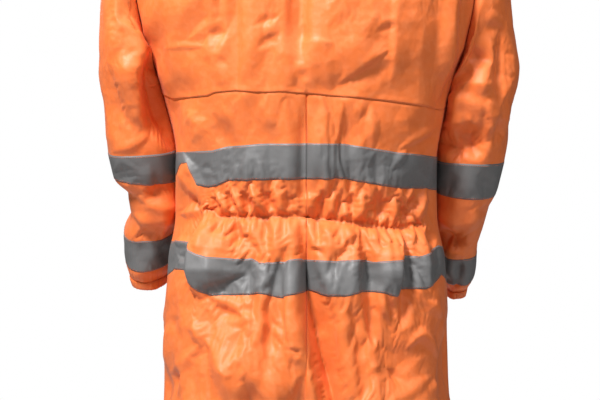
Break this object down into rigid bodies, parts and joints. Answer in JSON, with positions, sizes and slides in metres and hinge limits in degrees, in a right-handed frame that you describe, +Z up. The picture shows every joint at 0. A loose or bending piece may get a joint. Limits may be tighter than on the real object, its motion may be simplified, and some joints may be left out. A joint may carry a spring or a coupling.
{
  "type": "hi-vis coverall",
  "caption": "Hi-vis coverall, worn and hollow: coated cloth with reflective bands round the body and sleeves, a gathered back waist and a front zip.",
  "frame": {"origin": "midway between the two points where the neck edge meets the shoulder seams", "axes": "+Z up, -Y to the wearer's front, +X to the wearer's left"},
  "size_m": [0.5884, 0.3172, 1.6149],
  "materials": {
    "shell": "satin coated cloth",
    "tape": "silver-grey retroreflective cloth",
    "elastic": "matt braided elastic",
    "zip": "plain plastic zip on woven tape",
    "slider": "plated metal"
  },
  "bodies": {
    "garment": {"back_yoke": "shell", "back_left": "shell", "back_right": "shell", "front_left": "shell", "front_right": "shell", "sleeve_left": "shell", "sleeve_right": "shell", "cuff_left": "shell", "cuff_right": "shell", "collar": "shell", "tape_upper_back_left": "tape", "tape_upper_back_right": "tape", "tape_upper_front_left": "tape", "tape_upper_front_right": "tape", "tape_upper_sleeve_left": "tape", "tape_upper_sleeve_right": "tape", "tape_lower_back_left": "tape", "tape_lower_back_right": "tape", "tape_lower_front_left": "tape", "tape_lower_front_right": "tape", "tape_lower_sleeve_left": "tape", "tape_lower_sleeve_right": "tape", "waist_elastic": "elastic", "zip": "zip", "zip_slider": "slider"},
    "pull": {"zip_pull": "slider"}
  },
  "joints": [
    {"name": "pull_swing", "type": "hinge", "parent": "garment", "child": "pull", "pos_m": [0, -0.09157, -0.05172], "axis": [-1, 0, 0], "range_deg": [0, 170]}
  ]
}
